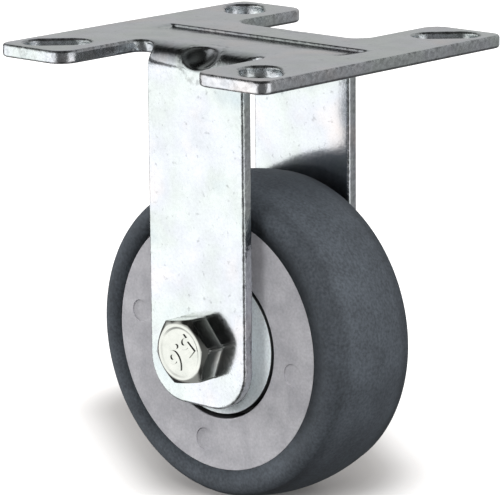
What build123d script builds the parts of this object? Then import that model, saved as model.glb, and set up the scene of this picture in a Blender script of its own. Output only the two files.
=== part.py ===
from build123d import *
from math import cos, radians
import os

# Fixed castor: an H-shaped plate and two legs folded from one sheet, with a rubber-tyred wheel on two
# shielded ball bearings between the legs. Millimetres. The origin is the centre of the plate's upper face,
# +X is the rolling direction, +Y runs along the axle with the bolt's head on the -Y side, and +Z is up.

# Sheet and plate
sheet = 2.1
plate_length = 55.5
plate_width = 56.5
plate_corner_radius = 2.2
arm_width = 14.35
arm_corner_radius = 3.2

# Legs, folded down out of the gaps between the arms, with a relief hole at each end of a fold
leg_gap = 22.5
leg_tail = 9.4
leg_foot_width = 6.1
bend_inner_radius = 1.9
relief_diameter = 3.35
relief_depth = 2.1

# Screw slots, which point at the plate's middle from its corners
slot_length = 10.5
slot_width = 6.2
slot_inset_x = 6.5
slot_inset_y = 6.75
slot_angle = 45.0

# Groove pressed across the plate from above: its floor slopes down from the -Y edge to a steep wall
groove_length = 42.4
groove_width = 7.7
groove_depth = 0.7
groove_wall_run = 0.3
groove_centre_x = 1.0
groove_wall_y = 2.95

# Dimple that a ball-nosed punch leaves in the middle of each fold, to stiffen it
dimple_radius = 6.0
dimple_standoff = 2.3
dimple_shift = 0.5

# Wheel
axle_drop = 47.0
wheel_radius = 25.9
wheel_width = 18.3
tyre_thickness = 5.4
tyre_shoulder_radius = 1.8
tyre_crown = 1.5
tyre_key_width = 7.0
tyre_key_height = 1.5

# Round marks that the mould's ejector pins leave on one face of the core
pin_mark_diameter = 3.6
pin_mark_depth = 0.15
pin_mark_count = 4
pin_mark_angle = 81.0

# Ball bearings, 8 x 22 x 7, one on each side of a rib in the core
bearing_bore = 8.0
bearing_diameter = 22.0
bearing_width = 7.0
bearing_chamfer = 0.3
bearing_rib_width = 1.2
bearing_rib_height = 1.5
ball_diameter = 3.969
ball_count = 7
race_clearance = 0.03
land_gap = 2.8
cage_thickness = 2.1
cage_back = 2.5
cage_front = 0.9
pocket_clearance = 0.1
shield_thickness = 0.3
shield_setback = 0.25
shield_seat_height = 0.8
shield_gap = 0.25

# Thread guards, the discs that keep threads out of the bearings
guard_overlap = 0.5
guard_clearance = 0.7
guard_thickness = 0.9
guard_gap = 0.4
guard_boss_radius = 6.5
guard_spigot_radius = 5.5
guard_edge_radius = 0.3
guard_fit = 0.05

# Axle: bolt, sleeve and lock nut
bolt_diameter = 6.0
bolt_length = 35.0
bolt_tip_chamfer = 0.7
head_flats = 9.9
head_height = 4.0
head_corner_radius = 0.5
head_face_radius = 4.4
head_face_drop = 0.9
head_turn = 10.0
axle_hole_clearance = 0.2
sleeve_clearance = 0.1
sleeve_fit = 0.02
nut_flats = 10.0
nut_height = 6.0
nut_turn = 17.0
nut_corner_drop = 0.5
collar_height = 1.9
collar_radius = 4.6
collar_corner_radius = 0.8
insert_thickness = 1.0
insert_height = 1.4
insert_lip_height = 0.4
insert_lip_width = 0.4
thread_fit = 0.02

# Sizes and places worked out from the sizes above
arm_gap = plate_length - 2 * arm_width
leg_width = arm_gap - 2 * relief_diameter
leg_corner_radius = (leg_width - leg_foot_width) / 2
slot_spacing_x = plate_length - 2 * slot_inset_x
slot_spacing_y = plate_width - 2 * slot_inset_y
leg_face = leg_gap / 2 + sheet
leg_end = axle_drop + leg_tail
bend_outer_radius = bend_inner_radius + sheet
bend_start = leg_face - bend_outer_radius
relief_radius = relief_diameter / 2
relief_x = leg_width / 2 + relief_radius
relief_y = leg_face - relief_depth + relief_radius
dimple_y = leg_face + dimple_standoff
bolt_radius = bolt_diameter / 2
rim_radius = wheel_radius - tyre_thickness
rib_radius = bearing_diameter / 2 - bearing_rib_height
race_middle = bearing_rib_width / 2 + bearing_width / 2
race_radius = ball_diameter / 2 + race_clearance
pitch_radius = (bearing_bore + bearing_diameter) / 4
inner_land_radius = pitch_radius - land_gap / 2
outer_land_radius = pitch_radius + land_gap / 2
bearing_face = bearing_rib_width / 2 + bearing_width
shield_seat_radius = outer_land_radius + shield_seat_height
shield_inset = shield_setback + shield_thickness
guard_back = bearing_face + guard_gap
guard_front = guard_back + guard_thickness
guard_radius = bearing_diameter / 2 + guard_overlap
guard_bore_radius = bearing_bore / 2 + guard_fit
well_radius = guard_radius + guard_clearance
pin_mark_ring_radius = (rim_radius + well_radius) / 2
nut_hexagon_height = nut_height - collar_height
insert_radius = bolt_radius + insert_thickness

# The axle line, the section plane through it, and the faces that the bolt's head and the nut sit on
axle = Axis((0, 0, -axle_drop), (0, 1, 0))
section = Plane(origin=(0, 0, -axle_drop), x_dir=(0, 1, 0), z_dir=(1, 0, 0))
head_seat = Plane(origin=(0, -leg_face, -axle_drop), x_dir=(1, 0, 0), z_dir=(0, -1, 0))
nut_seat = Plane(origin=(0, leg_face, -axle_drop), x_dir=(1, 0, 0), z_dir=(0, 1, 0))
core_face = Plane(origin=(0, -wheel_width / 2, -axle_drop), x_dir=(1, 0, 0), z_dir=(0, -1, 0))
groove_middle = Plane(origin=(groove_centre_x, 0, 0), x_dir=(0, 1, 0), z_dir=(1, 0, 0))

os.makedirs("parts", exist_ok=True)


def save(piece, name):
    piece.part.label = name
    export_step(piece.part, f"parts/{name}.step")


# What each dimple pushes out below the fold: a ball one sheet larger, kept on the inner side of the sheet
backing_reach = dimple_radius + sheet
with BuildPart() as dimple_backing:
    with Locations((dimple_shift, dimple_y, dimple_standoff)):
        Sphere(backing_reach)
    with Locations((dimple_shift, leg_face - sheet / 2, -sheet / 2)):
        Box(
            2 * backing_reach,
            backing_reach,
            backing_reach,
            align=(Align.CENTER, Align.MAX, Align.MAX),
            mode=Mode.INTERSECT,
        )
    mirror(about=Plane.XZ)

# Fork: plate and legs are one sheet
with BuildPart() as fork:
    # H-shaped plate, with a gap for each leg, a round relief at both ends of each fold, and the slots
    with BuildSketch(Plane.XY.offset(-sheet)):
        Rectangle(plate_length, plate_width)
        for side, outward in ((-1, Align.MAX), (1, Align.MIN)):
            with Locations((0, side * relief_y)):
                Rectangle(arm_gap, plate_width, align=(Align.CENTER, outward), mode=Mode.SUBTRACT)
        fillet(vertices().group_by(Axis.X)[0] + vertices().group_by(Axis.X)[-1], plate_corner_radius)
        for end in (0, -1):
            fillet(vertices().group_by(Axis.Y)[end].sort_by(Axis.X)[1:3], arm_corner_radius)
        for side, outward in ((-1, Align.MAX), (1, Align.MIN)):
            with Locations((0, side * bend_start)):
                Rectangle(leg_width, plate_width, align=(Align.CENTER, outward), mode=Mode.SUBTRACT)
        with GridLocations(2 * relief_x, 2 * relief_y, 2, 2):
            Circle(relief_radius, mode=Mode.SUBTRACT)
        for x_side in (-1, 1):
            for y_side in (-1, 1):
                with Locations((x_side * slot_spacing_x / 2, y_side * slot_spacing_y / 2)):
                    SlotOverall(
                        slot_length,
                        slot_width,
                        rotation=x_side * y_side * slot_angle,
                        mode=Mode.SUBTRACT,
                    )
    extrude(amount=sheet)

    # The strip that runs down one leg, over both folds and down the other
    with BuildSketch(Plane.YZ):
        Rectangle(2 * leg_face, leg_end, align=(Align.CENTER, Align.MAX))
        fillet(vertices().group_by(Axis.Y)[-1], bend_outer_radius)
        with Locations((0, -sheet)):
            Rectangle(leg_gap, leg_end, align=(Align.CENTER, Align.MAX), mode=Mode.SUBTRACT)
        fillet(vertices().group_by(Axis.Y)[-2], bend_inner_radius)
    extrude(amount=leg_width / 2, both=True)
    fillet(edges().filter_by(Axis.Y).group_by(Axis.Z)[0], leg_corner_radius)

    # Axle holes
    with BuildSketch(nut_seat):
        Circle(bolt_radius + axle_hole_clearance)
    extrude(amount=-2 * leg_face, mode=Mode.SUBTRACT)

    # Groove from above, and the ridge that it raises below
    for height, mode in ((-sheet, Mode.ADD), (0, Mode.SUBTRACT)):
        with BuildSketch(groove_middle):
            with BuildLine():
                Polyline(
                    (groove_wall_y - groove_width, height),
                    (groove_wall_y - groove_wall_run, height - groove_depth),
                    (groove_wall_y, height),
                    close=True,
                )
            make_face()
        extrude(amount=groove_length / 2, both=True, mode=mode)

    # Dimples
    add(dimple_backing.part)
    with Locations((dimple_shift, -dimple_y, dimple_standoff), (dimple_shift, dimple_y, dimple_standoff)):
        Sphere(dimple_radius, mode=Mode.SUBTRACT)
save(fork, "fork")

# Tyre, moulded over a key that runs round the core's rim. Half of its section is drawn from the crown of the
# tread to the side, and mirrored.
with BuildPart() as tyre:
    with BuildSketch(section):
        with BuildLine():
            TangentArc(
                (0, wheel_radius), (wheel_width / 2, wheel_radius - tyre_crown), tangent=(1, 0)
            )
            Line((wheel_width / 2, wheel_radius - tyre_crown), (wheel_width / 2, rim_radius))
            Line((wheel_width / 2, rim_radius), (0, rim_radius))
            mirror(about=Plane.YZ)
        make_face()
        fillet(vertices().group_by(Axis.Y)[-2], tyre_shoulder_radius)
        with Locations((0, rim_radius)):
            Rectangle(
                tyre_key_width, tyre_key_height, align=(Align.CENTER, Align.MIN), mode=Mode.SUBTRACT
            )
    revolve(axis=axle)
save(tyre, "tyre")

# Core, with a bearing seat and a well for the thread guard on each side
with BuildPart() as wheel_core:
    with BuildSketch(section):
        with Locations((0, rib_radius)):
            Rectangle(wheel_width, rim_radius - rib_radius, align=(Align.CENTER, Align.MIN))
        with Locations((0, rim_radius)):
            Rectangle(tyre_key_width, tyre_key_height, align=(Align.CENTER, Align.MIN))
        for side, outward in ((-1, Align.MAX), (1, Align.MIN)):
            with Locations((side * bearing_rib_width / 2, rib_radius)):
                Rectangle(bearing_width, bearing_rib_height, align=(outward, Align.MIN), mode=Mode.SUBTRACT)
            with Locations((side * bearing_face, rib_radius)):
                Rectangle(
                    wheel_width, well_radius - rib_radius, align=(outward, Align.MIN), mode=Mode.SUBTRACT
                )
    revolve(axis=axle)
    with BuildSketch(core_face):
        with PolarLocations(pin_mark_ring_radius, pin_mark_count, start_angle=pin_mark_angle):
            Circle(pin_mark_diameter / 2)
    extrude(amount=-pin_mark_depth, mode=Mode.SUBTRACT)
save(wheel_core, "wheel_core")

# Both bearings and thread guards, each drawn outwards from the wheel's middle
for side_name, side in (("bolt_side", -1), ("nut_side", 1)):
    half = Plane(origin=(0, 0, -axle_drop), x_dir=(0, side, 0), z_dir=(side, 0, 0))
    ball_circle = Plane(origin=(0, side * race_middle, -axle_drop), x_dir=(1, 0, 0), z_dir=(0, 1, 0))

    with BuildPart() as inner_ring:
        with BuildSketch(half):
            with Locations((race_middle, bearing_bore / 2)):
                Rectangle(
                    bearing_width,
                    inner_land_radius - bearing_bore / 2,
                    align=(Align.CENTER, Align.MIN),
                )
            chamfer(vertices().group_by(Axis.Y)[0], bearing_chamfer)
            with Locations((race_middle, pitch_radius)):
                Circle(race_radius, mode=Mode.SUBTRACT)
        revolve(axis=axle)
    save(inner_ring, f"bearing_inner_ring_{side_name}")

    with BuildPart() as outer_ring:
        with BuildSketch(half):
            with Locations((race_middle, outer_land_radius)):
                Rectangle(
                    bearing_width,
                    bearing_diameter / 2 - outer_land_radius,
                    align=(Align.CENTER, Align.MIN),
                )
            chamfer(vertices().group_by(Axis.Y)[-1], bearing_chamfer)
            with Locations((race_middle, pitch_radius)):
                Circle(race_radius, mode=Mode.SUBTRACT)
            with Locations((bearing_rib_width / 2, outer_land_radius)):
                Rectangle(shield_inset, shield_seat_height, align=(Align.MIN, Align.MIN), mode=Mode.SUBTRACT)
            with Locations((bearing_face, outer_land_radius)):
                Rectangle(shield_inset, shield_seat_height, align=(Align.MAX, Align.MIN), mode=Mode.SUBTRACT)
        revolve(axis=axle)
    save(outer_ring, f"bearing_outer_ring_{side_name}")

    for shield_name, shield_start in (
        ("inner", bearing_rib_width / 2 + shield_setback),
        ("outer", bearing_face - shield_inset),
    ):
        with BuildPart() as shield:
            with BuildSketch(half):
                with Locations((shield_start, inner_land_radius + shield_gap)):
                    Rectangle(
                        shield_thickness,
                        shield_seat_radius - inner_land_radius - shield_gap,
                        align=(Align.MIN, Align.MIN),
                    )
            revolve(axis=axle)
        save(shield, f"bearing_{shield_name}_shield_{side_name}")

    with BuildPart(ball_circle) as balls:
        with PolarLocations(pitch_radius, ball_count):
            Sphere(ball_diameter / 2)
    save(balls, f"bearing_balls_{side_name}")

    # Crown cage: a ring behind the balls, with horns that reach between them
    with BuildPart(ball_circle) as cage:
        with BuildSketch(half):
            with Locations((race_middle - cage_front, pitch_radius)):
                Rectangle(cage_front + cage_back, cage_thickness, align=(Align.MIN, Align.CENTER))
        revolve(axis=axle)
        with PolarLocations(pitch_radius, ball_count):
            Sphere(ball_diameter / 2 + pocket_clearance, mode=Mode.SUBTRACT)
    save(cage, f"bearing_cage_{side_name}")

    # Spigot against the inner ring, disc over the bearing, boss against the leg
    with BuildPart() as thread_guard:
        with BuildSketch(half):
            with Locations((guard_back, guard_bore_radius)):
                Rectangle(guard_thickness, guard_radius - guard_bore_radius, align=(Align.MIN, Align.MIN))
            fillet(vertices().group_by(Axis.Y)[-1], guard_edge_radius)
            with Locations((bearing_face, guard_bore_radius)):
                Rectangle(guard_gap, guard_spigot_radius - guard_bore_radius, align=(Align.MIN, Align.MIN))
            with Locations((guard_front, guard_bore_radius)):
                Rectangle(
                    leg_gap / 2 - guard_front,
                    guard_boss_radius - guard_bore_radius,
                    align=(Align.MIN, Align.MIN),
                )
        revolve(axis=axle)
    save(thread_guard, f"thread_guard_{side_name}")

# Sleeve between the legs, which the bolt clamps and the inner rings sit on
with BuildPart() as axle_sleeve:
    with BuildSketch(nut_seat.offset(-sheet)):
        Circle(bearing_bore / 2 - sleeve_fit)
        Circle(bolt_radius + sleeve_clearance, mode=Mode.SUBTRACT)
    extrude(amount=-leg_gap)
save(axle_sleeve, "axle_sleeve")

# Bolt: forged hexagon head with a turned chamfer, and a plain shank
head_corner = head_flats / 2 / cos(radians(30))
with BuildPart() as axle_bolt:
    with BuildSketch(head_seat):
        RegularPolygon(head_corner, 6, rotation=head_turn)
        fillet(vertices(), head_corner_radius)
    extrude(amount=head_height)
    with BuildSketch(section):
        with BuildLine():
            Polyline(
                (-leg_face, 0),
                (-leg_face, head_corner),
                (-leg_face - head_height + head_face_drop, head_corner),
                (-leg_face - head_height, head_face_radius),
                (-leg_face - head_height, 0),
                close=True,
            )
        make_face()
    revolve(axis=axle, mode=Mode.INTERSECT)
    with BuildSketch(head_seat):
        Circle(bolt_radius)
    extrude(amount=-bolt_length)
    chamfer(edges().group_by(Axis.Y)[-1], bolt_tip_chamfer)
save(axle_bolt, "axle_bolt")

# Lock nut: hexagon, round collar, and the collar's groove for the insert under a rolled-in lip
nut_corner = nut_flats / 2 / cos(radians(30))
insert_depth = nut_height - insert_lip_height - insert_height
with BuildPart() as lock_nut:
    with BuildSketch(nut_seat):
        RegularPolygon(nut_corner, 6, rotation=nut_turn)
    extrude(amount=nut_hexagon_height)
    with BuildSketch(section):
        with Locations((leg_face, 0)):
            Rectangle(nut_hexagon_height, nut_corner, align=(Align.MIN, Align.MIN))
        chamfer(vertices().group_by(Axis.Y)[-1], nut_corner_drop)
    revolve(axis=axle, mode=Mode.INTERSECT)
    with BuildSketch(nut_seat.offset(nut_hexagon_height)):
        Circle(collar_radius)
    extrude(amount=collar_height)
    fillet(edges().group_by(Axis.Y)[-1], collar_corner_radius)
    with BuildSketch(section):
        with Locations((leg_face, 0)):
            Rectangle(nut_height, bolt_radius + thread_fit, align=(Align.MIN, Align.MIN))
        with Locations((leg_face + insert_depth, 0)):
            Rectangle(insert_height, insert_radius, align=(Align.MIN, Align.MIN))
            Rectangle(
                nut_height - insert_depth,
                insert_radius - insert_lip_width,
                align=(Align.MIN, Align.MIN),
            )
    revolve(axis=axle, mode=Mode.SUBTRACT)
save(lock_nut, "lock_nut")

with BuildPart() as lock_nut_insert:
    with BuildSketch(nut_seat.offset(insert_depth)):
        Circle(insert_radius)
        Circle(bolt_radius + thread_fit, mode=Mode.SUBTRACT)
    extrude(amount=insert_height)
save(lock_nut_insert, "lock_nut_insert")
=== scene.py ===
import math

import bmesh
import bpy
from mathutils import Matrix, Vector
from mathutils.geometry import delaunay_2d_cdt


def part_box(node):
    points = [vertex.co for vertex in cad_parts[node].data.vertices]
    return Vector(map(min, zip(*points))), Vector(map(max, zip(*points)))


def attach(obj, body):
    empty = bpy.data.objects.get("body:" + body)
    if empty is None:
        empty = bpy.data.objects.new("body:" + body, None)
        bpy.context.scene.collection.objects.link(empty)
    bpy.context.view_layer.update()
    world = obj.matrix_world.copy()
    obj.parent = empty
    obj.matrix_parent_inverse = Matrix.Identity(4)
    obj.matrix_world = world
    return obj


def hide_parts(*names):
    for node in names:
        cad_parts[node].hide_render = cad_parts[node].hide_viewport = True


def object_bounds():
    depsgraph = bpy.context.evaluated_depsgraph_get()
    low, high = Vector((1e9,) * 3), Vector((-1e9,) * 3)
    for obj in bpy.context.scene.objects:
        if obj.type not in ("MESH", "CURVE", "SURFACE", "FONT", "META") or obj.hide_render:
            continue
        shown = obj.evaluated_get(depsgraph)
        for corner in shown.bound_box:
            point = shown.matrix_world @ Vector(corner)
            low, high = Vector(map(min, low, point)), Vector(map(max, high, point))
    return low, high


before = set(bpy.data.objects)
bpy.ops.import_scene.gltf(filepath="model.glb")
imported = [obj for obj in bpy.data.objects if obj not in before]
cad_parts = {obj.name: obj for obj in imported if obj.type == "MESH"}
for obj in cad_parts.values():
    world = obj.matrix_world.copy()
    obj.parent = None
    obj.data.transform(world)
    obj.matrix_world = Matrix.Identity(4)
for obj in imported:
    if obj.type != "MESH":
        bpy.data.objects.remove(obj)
cad_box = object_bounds()

# Sizes are in millimetres and are turned to metres where a mesh is written
MM = 0.001
RAD = math.pi / 180

fork_low, fork_high = (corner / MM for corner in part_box("fork"))
tyre_low, tyre_high = (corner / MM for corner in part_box("tyre"))
guard_low, guard_high = (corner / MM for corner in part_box("thread_guard_nut_side"))
bolt_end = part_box("axle_bolt")[1].y / MM
leg_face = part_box("lock_nut")[0].y / MM
axle_z = (tyre_low.z + tyre_high.z) / 2

# Fork, as it is punched flat and folded
sheet = 2.1
plate_half_x = fork_high.x
plate_half_y = fork_high.y
plate_corner_radius = 2.2
arm_half = 13.4
arm_corner_radius = 3.2
leg_half = 10.05
leg_corner_radius = 7.0
bend_radius = 4.0
bend_start = leg_face - bend_radius
bend_length = bend_radius * math.pi / 2
relief_radius = (arm_half - leg_half) / 2
relief_centre_x = leg_half + relief_radius
relief_centre_y = leg_face - 2.1 + relief_radius
strip_end = bend_start + bend_length - fork_low.z - bend_radius
slot_x = 21.25
slot_y = 21.5
slot_radius = 3.1
slot_straight = 4.3
axle_hole_radius = 3.2
edge_radius = 0.5

# How far apart the points of the fork's mesh are: in a dimple, in a fold, and on the flat
dimple_step = 0.2
bend_step = 0.4
flat_step = 2.5

# Groove and dimples pressed into the fork
groove_depth = 0.5
groove_width = 7.7
groove_wall_y = 2.95
groove_wall_run = 0.28
groove_rows = (-2.2, -1.6, -1.2, -1, -0.8, -0.5, -0.2, 0, 0.2, 0.6)
groove_left = -20.2
groove_right = 22.2
dimple_radius = 6.0
dimple_standoff = 2.3
dimple_shift = 0.5
dimple_rim = 0.45
dimple_reach = 4.6

# Wheel
wheel_half = tyre_high.y
tread_radius = (tyre_high.z - tyre_low.z) / 2
tread_crown = 1.5
parting_depth = 0.04
rim_radius = 20.5
shoulder_radius = 1.8
well_radius = 12.2
well_lip_radius = 0.25
bearing_seat = 11.0
bearing_face = 7.6
gap_floor = 5.2
gap_inner = 11.2
flow_ring = 15.3
flow_ring_half = 0.15
flow_ring_depth = 0.05
guard_bore = 4.05
guard_spigot = 5.5
guard_back = 8.0
guard_face = 8.9
guard_boss = 6.5
pin_mark_radius = 1.8
pin_mark_ring = (rim_radius + well_radius) / 2
pin_mark_depth = 0.25
pin_mark_angle = 81.0
pin_mark_count = 4

# Bolt
head_half_flats = 4.95
head_corner_radius = 0.3
head_height = 4.0
head_turn = 10.0
head_face_radius = 4.4
head_face_drop = 0.9
head_dish = 0.2
number_size = 4.8
number_turn = -130.0
number_weight = 0.08
shank_radius = 3.0
thread_start = 3.65
thread_pitch = 1.0
thread_depth = 0.55
thread_tip = 0.7
thread_rows = 190

# The photograph's camera
camera_place = Vector((0.34567, -0.37926, 0.08373))
camera_azimuth = 42.415
camera_elevation = 12.852
camera_roll = -0.506
camera_lens = 240.4


def linear(code):
    """The linear colour of an sRGB hex code."""
    channels = [int(code[i:i + 2], 16) / 255 for i in (0, 2, 4)]
    return [c / 12.92 if c <= 0.04045 else ((c + 0.055) / 1.055) ** 2.4 for c in channels] + [1.0]


def add(tree, kind, inputs=None, stops=None, **settings):
    """Adds a node with its properties, its inputs filled or linked, and a ramp's stops in rising order."""
    node = tree.nodes.new(kind)
    if stops:
        ramp = node.color_ramp.elements
        ramp[0].position, ramp[0].color = stops[0]
        ramp[1].position, ramp[1].color = stops[-1]
        for position, colour in stops[1:-1]:
            ramp.new(position).color = colour
    for name, value in settings.items():
        setattr(node, name, value)
    for key, value in (inputs or {}).items():
        if isinstance(value, bpy.types.NodeSocket):
            tree.links.new(value, node.inputs[key])
        else:
            node.inputs[key].default_value = value
    return node


def empty_tree(owner):
    """The node tree of a material or a world, with nothing in it yet."""
    owner.use_nodes = True
    owner.node_tree.nodes.clear()
    return owner.node_tree


def new_material(name):
    """An empty material with its shader and the object's own coordinates."""
    material = bpy.data.materials.new(name)
    tree = empty_tree(material)
    shader = add(tree, "ShaderNodeBsdfPrincipled")
    add(tree, "ShaderNodeOutputMaterial", {"Surface": shader.outputs["BSDF"]})
    place = add(tree, "ShaderNodeTexCoord").outputs["Object"]
    return material, tree, shader, place


def per_millimetre(size):
    """The noise scale, in the metres of object coordinates, that makes features of this many millimetres."""
    return 1 / (size * MM)


def give_texture(tree, shader, pattern, smooth, rough, strength, depth):
    """Lets a pattern set how rough a surface is, and stand out from it by a depth in millimetres."""
    spread = add(tree, "ShaderNodeMapRange", {"Value": pattern, "To Min": smooth, "To Max": rough})
    tree.links.new(spread.outputs["Result"], shader.inputs["Roughness"])
    bump = add(tree, "ShaderNodeBump", {"Height": pattern, "Strength": strength, "Distance": depth * MM})
    tree.links.new(bump.outputs["Normal"], shader.inputs["Normal"])


def bright_zinc_plate():
    """Cold-rolled steel sheet, bright zinc plated: a nearly sharp mirror, faintly wavy and tinted by its
    passivation, torn and speckled on the punched edges, and darkened inside each dimple by painted shade that
    stands in for the dark reflection there."""
    material, tree, shader, place = new_material("bright_zinc_plate")
    worked = add(tree, "ShaderNodeAttribute", attribute_name="worked").outputs["Fac"]
    drawn = add(tree, "ShaderNodeAttribute", attribute_name="drawn").outputs["Fac"]
    tint = add(tree, "ShaderNodeTexNoise", {"Vector": place, "Scale": per_millimetre(11), "Detail": 3.0})
    colour = add(tree, "ShaderNodeValToRGB", {"Fac": tint.outputs["Fac"]}, stops=(
        (0.28, linear("D3DEE1")), (0.42, linear("E3EAE8")),
        (0.55, linear("E4E8EE")), (0.72, linear("F0EBEA"))))
    # Plating grain, drawn coarser than it is so that it shows
    grain = add(tree, "ShaderNodeTexNoise", {"Vector": place, "Scale": per_millimetre(0.45), "Detail": 4.0})
    cloud = add(tree, "ShaderNodeTexNoise", {"Vector": place, "Scale": per_millimetre(5), "Detail": 4.0})
    patch = add(tree, "ShaderNodeMapRange", {
        "Value": cloud.outputs["Fac"], "From Min": 0.3, "From Max": 0.6, "To Min": 0.88, "To Max": 1.0})
    fine = add(tree, "ShaderNodeMapRange", {"Value": grain.outputs["Fac"], "To Min": 0.88, "To Max": 1.1})
    shade = add(tree, "ShaderNodeMath", {0: patch.outputs[0], 1: fine.outputs[0]}, operation="MULTIPLY")
    # Handling marks and pits
    speck = add(tree, "ShaderNodeTexNoise", {"Vector": place, "Scale": per_millimetre(1.1), "Detail": 2.0})
    pit = add(tree, "ShaderNodeMapRange", {
        "Value": speck.outputs["Fac"], "From Min": 0.64, "From Max": 0.74, "To Min": 1.0, "To Max": 0.72})
    # The burnished and broken zones that a punch leaves
    tear = add(tree, "ShaderNodeTexNoise", {"Vector": place, "Scale": per_millimetre(0.9), "Detail": 5.0})
    torn = add(tree, "ShaderNodeMapRange", {
        "Value": tear.outputs["Fac"], "From Min": 0.38, "From Max": 0.56, "To Min": 0.5, "To Max": 1.0})
    plain = add(tree, "ShaderNodeMath", {
        0: shade.outputs["Value"], 1: pit.outputs["Result"]}, operation="MULTIPLY")
    dark = add(tree, "ShaderNodeMix", {0: worked, 2: plain.outputs["Value"], 3: torn.outputs["Result"]})
    # Painted shade: the bowl of each dimple is darkened, in place of the dark reflection in it
    dimple_shaded = add(tree, "ShaderNodeMapRange", {"Value": drawn, "To Min": dark.outputs[0], "To Max": 0.55})
    tone = add(tree, "ShaderNodeVectorMath", {
        0: colour.outputs["Color"], "Scale": dimple_shaded.outputs["Result"]}, operation="SCALE")
    tree.links.new(tone.outputs["Vector"], shader.inputs["Base Color"])
    shader.inputs["Metallic"].default_value = 1.0
    satin = add(tree, "ShaderNodeMapRange", {"Value": grain.outputs["Fac"], "To Min": 0.08, "To Max": 0.22})
    rough = add(tree, "ShaderNodeMapRange", {
        "Value": worked, "To Min": satin.outputs["Result"], "To Max": 0.3})
    tree.links.new(rough.outputs["Result"], shader.inputs["Roughness"])
    swell = add(tree, "ShaderNodeTexNoise", {"Vector": place, "Scale": per_millimetre(8), "Detail": 1.0})
    wavy = add(tree, "ShaderNodeBump", {
        "Height": swell.outputs["Fac"], "Strength": 1.0, "Distance": 0.12 * MM})
    ragged = add(tree, "ShaderNodeBump", {
        "Height": tear.outputs["Fac"], "Strength": worked, "Distance": 0.2 * MM,
        "Normal": wavy.outputs["Normal"]})
    bump = add(tree, "ShaderNodeBump", {
        "Height": grain.outputs["Fac"], "Strength": 0.04, "Distance": 0.12 * MM,
        "Normal": ragged.outputs["Normal"]})
    tree.links.new(bump.outputs["Normal"], shader.inputs["Normal"])
    return material


def bright_zinc_fastener():
    """Cold-forged steel, zinc plated: smoother than the sheet and a touch warmer."""
    material, tree, shader, place = new_material("bright_zinc_fastener")
    mottle = add(tree, "ShaderNodeTexNoise", {"Vector": place, "Scale": per_millimetre(1.4), "Detail": 3.0})
    colour = add(tree, "ShaderNodeValToRGB", {"Fac": mottle.outputs["Fac"]}, stops=(
        (0.3, linear("D6D9D2")), (0.7, linear("E3E5DE"))))
    tree.links.new(colour.outputs["Color"], shader.inputs["Base Color"])
    shader.inputs["Metallic"].default_value = 1.0
    give_texture(tree, shader, mottle.outputs["Fac"], 0.04, 0.2, 0.4, 0.06)
    return material


def tyre_rubber():
    """Thermoplastic rubber, moulded: dark slate grey and matt, with painted shade that makes the flat sides
    darker than the tread, where more light falls, and the fine grain of the mould."""
    material, tree, shader, place = new_material("thermoplastic_rubber")
    parts = add(tree, "ShaderNodeSeparateXYZ", {0: place})
    across = add(tree, "ShaderNodeMath", {0: parts.outputs["Y"]}, operation="ABSOLUTE")
    # Painted shade: the flat sides are darkened against the tread
    painted_side_shade = add(tree, "ShaderNodeMapRange", {
        "Value": across.outputs["Value"], "From Min": (wheel_half - 4.0) * MM,
        "From Max": (wheel_half - 1.6) * MM, "To Min": 1.0, "To Max": 0.7}, interpolation_type="SMOOTHSTEP")
    cloud = add(tree, "ShaderNodeTexNoise", {"Vector": place, "Scale": per_millimetre(5), "Detail": 4.0})
    colour = add(tree, "ShaderNodeValToRGB", {"Fac": cloud.outputs["Fac"]}, stops=(
        (0.3, linear("51565C")), (0.7, linear("5C6269"))))
    grain = add(tree, "ShaderNodeTexNoise", {"Vector": place, "Scale": per_millimetre(0.45), "Detail": 4.0})
    speckle = add(tree, "ShaderNodeMapRange", {
        "Value": grain.outputs["Fac"], "From Min": 0.3, "From Max": 0.7, "To Min": 0.7, "To Max": 1.25})
    shade = add(tree, "ShaderNodeMath", {
        0: painted_side_shade.outputs["Result"], 1: speckle.outputs["Result"]}, operation="MULTIPLY")
    tone = add(tree, "ShaderNodeVectorMath", {
        0: colour.outputs["Color"], "Scale": shade.outputs["Value"]}, operation="SCALE")
    tree.links.new(tone.outputs["Vector"], shader.inputs["Base Color"])
    shader.inputs["Specular IOR Level"].default_value = 0.25
    give_texture(tree, shader, grain.outputs["Fac"], 0.5, 0.75, 0.35, 0.06)
    return material


def moulded_polypropylene(name, pale, deep, roughness):
    """Polypropylene, injection moulded: waxy and even, with faint flow clouds and a fine mould grain, and
    darkened almost to black by painted shade in the gaps that a piece marks."""
    material, tree, shader, place = new_material(name)
    gap_shade = add(tree, "ShaderNodeAttribute", attribute_name="gap_shade").outputs["Fac"]
    # Painted shade: the gap mask darkens the colour almost to black
    unshaded = add(tree, "ShaderNodeMapRange", {"Value": gap_shade, "To Min": 1.0, "To Max": 0.06})
    cloud = add(tree, "ShaderNodeTexNoise", {
        "Vector": place, "Scale": per_millimetre(4), "Detail": 6.0, "Roughness": 0.65})
    colour = add(tree, "ShaderNodeValToRGB", {"Fac": cloud.outputs["Fac"]}, stops=(
        (0.34, linear(deep)), (0.62, linear(pale))))
    grain = add(tree, "ShaderNodeTexNoise", {"Vector": place, "Scale": per_millimetre(0.4), "Detail": 3.0})
    speckle = add(tree, "ShaderNodeMapRange", {
        "Value": grain.outputs["Fac"], "From Min": 0.3, "From Max": 0.7, "To Min": 0.9, "To Max": 1.1})
    shade = add(tree, "ShaderNodeMath", {
        0: speckle.outputs["Result"], 1: unshaded.outputs["Result"]}, operation="MULTIPLY")
    tone = add(tree, "ShaderNodeVectorMath", {
        0: colour.outputs["Color"], "Scale": shade.outputs["Value"]}, operation="SCALE")
    tree.links.new(tone.outputs["Vector"], shader.inputs["Base Color"])
    shader.inputs["IOR"].default_value = 1.49
    shader.inputs["Specular IOR Level"].default_value = 0.35
    give_texture(tree, shader, grain.outputs["Fac"], roughness - 0.06, roughness + 0.06, 0.12, 0.04)
    return material


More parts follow.
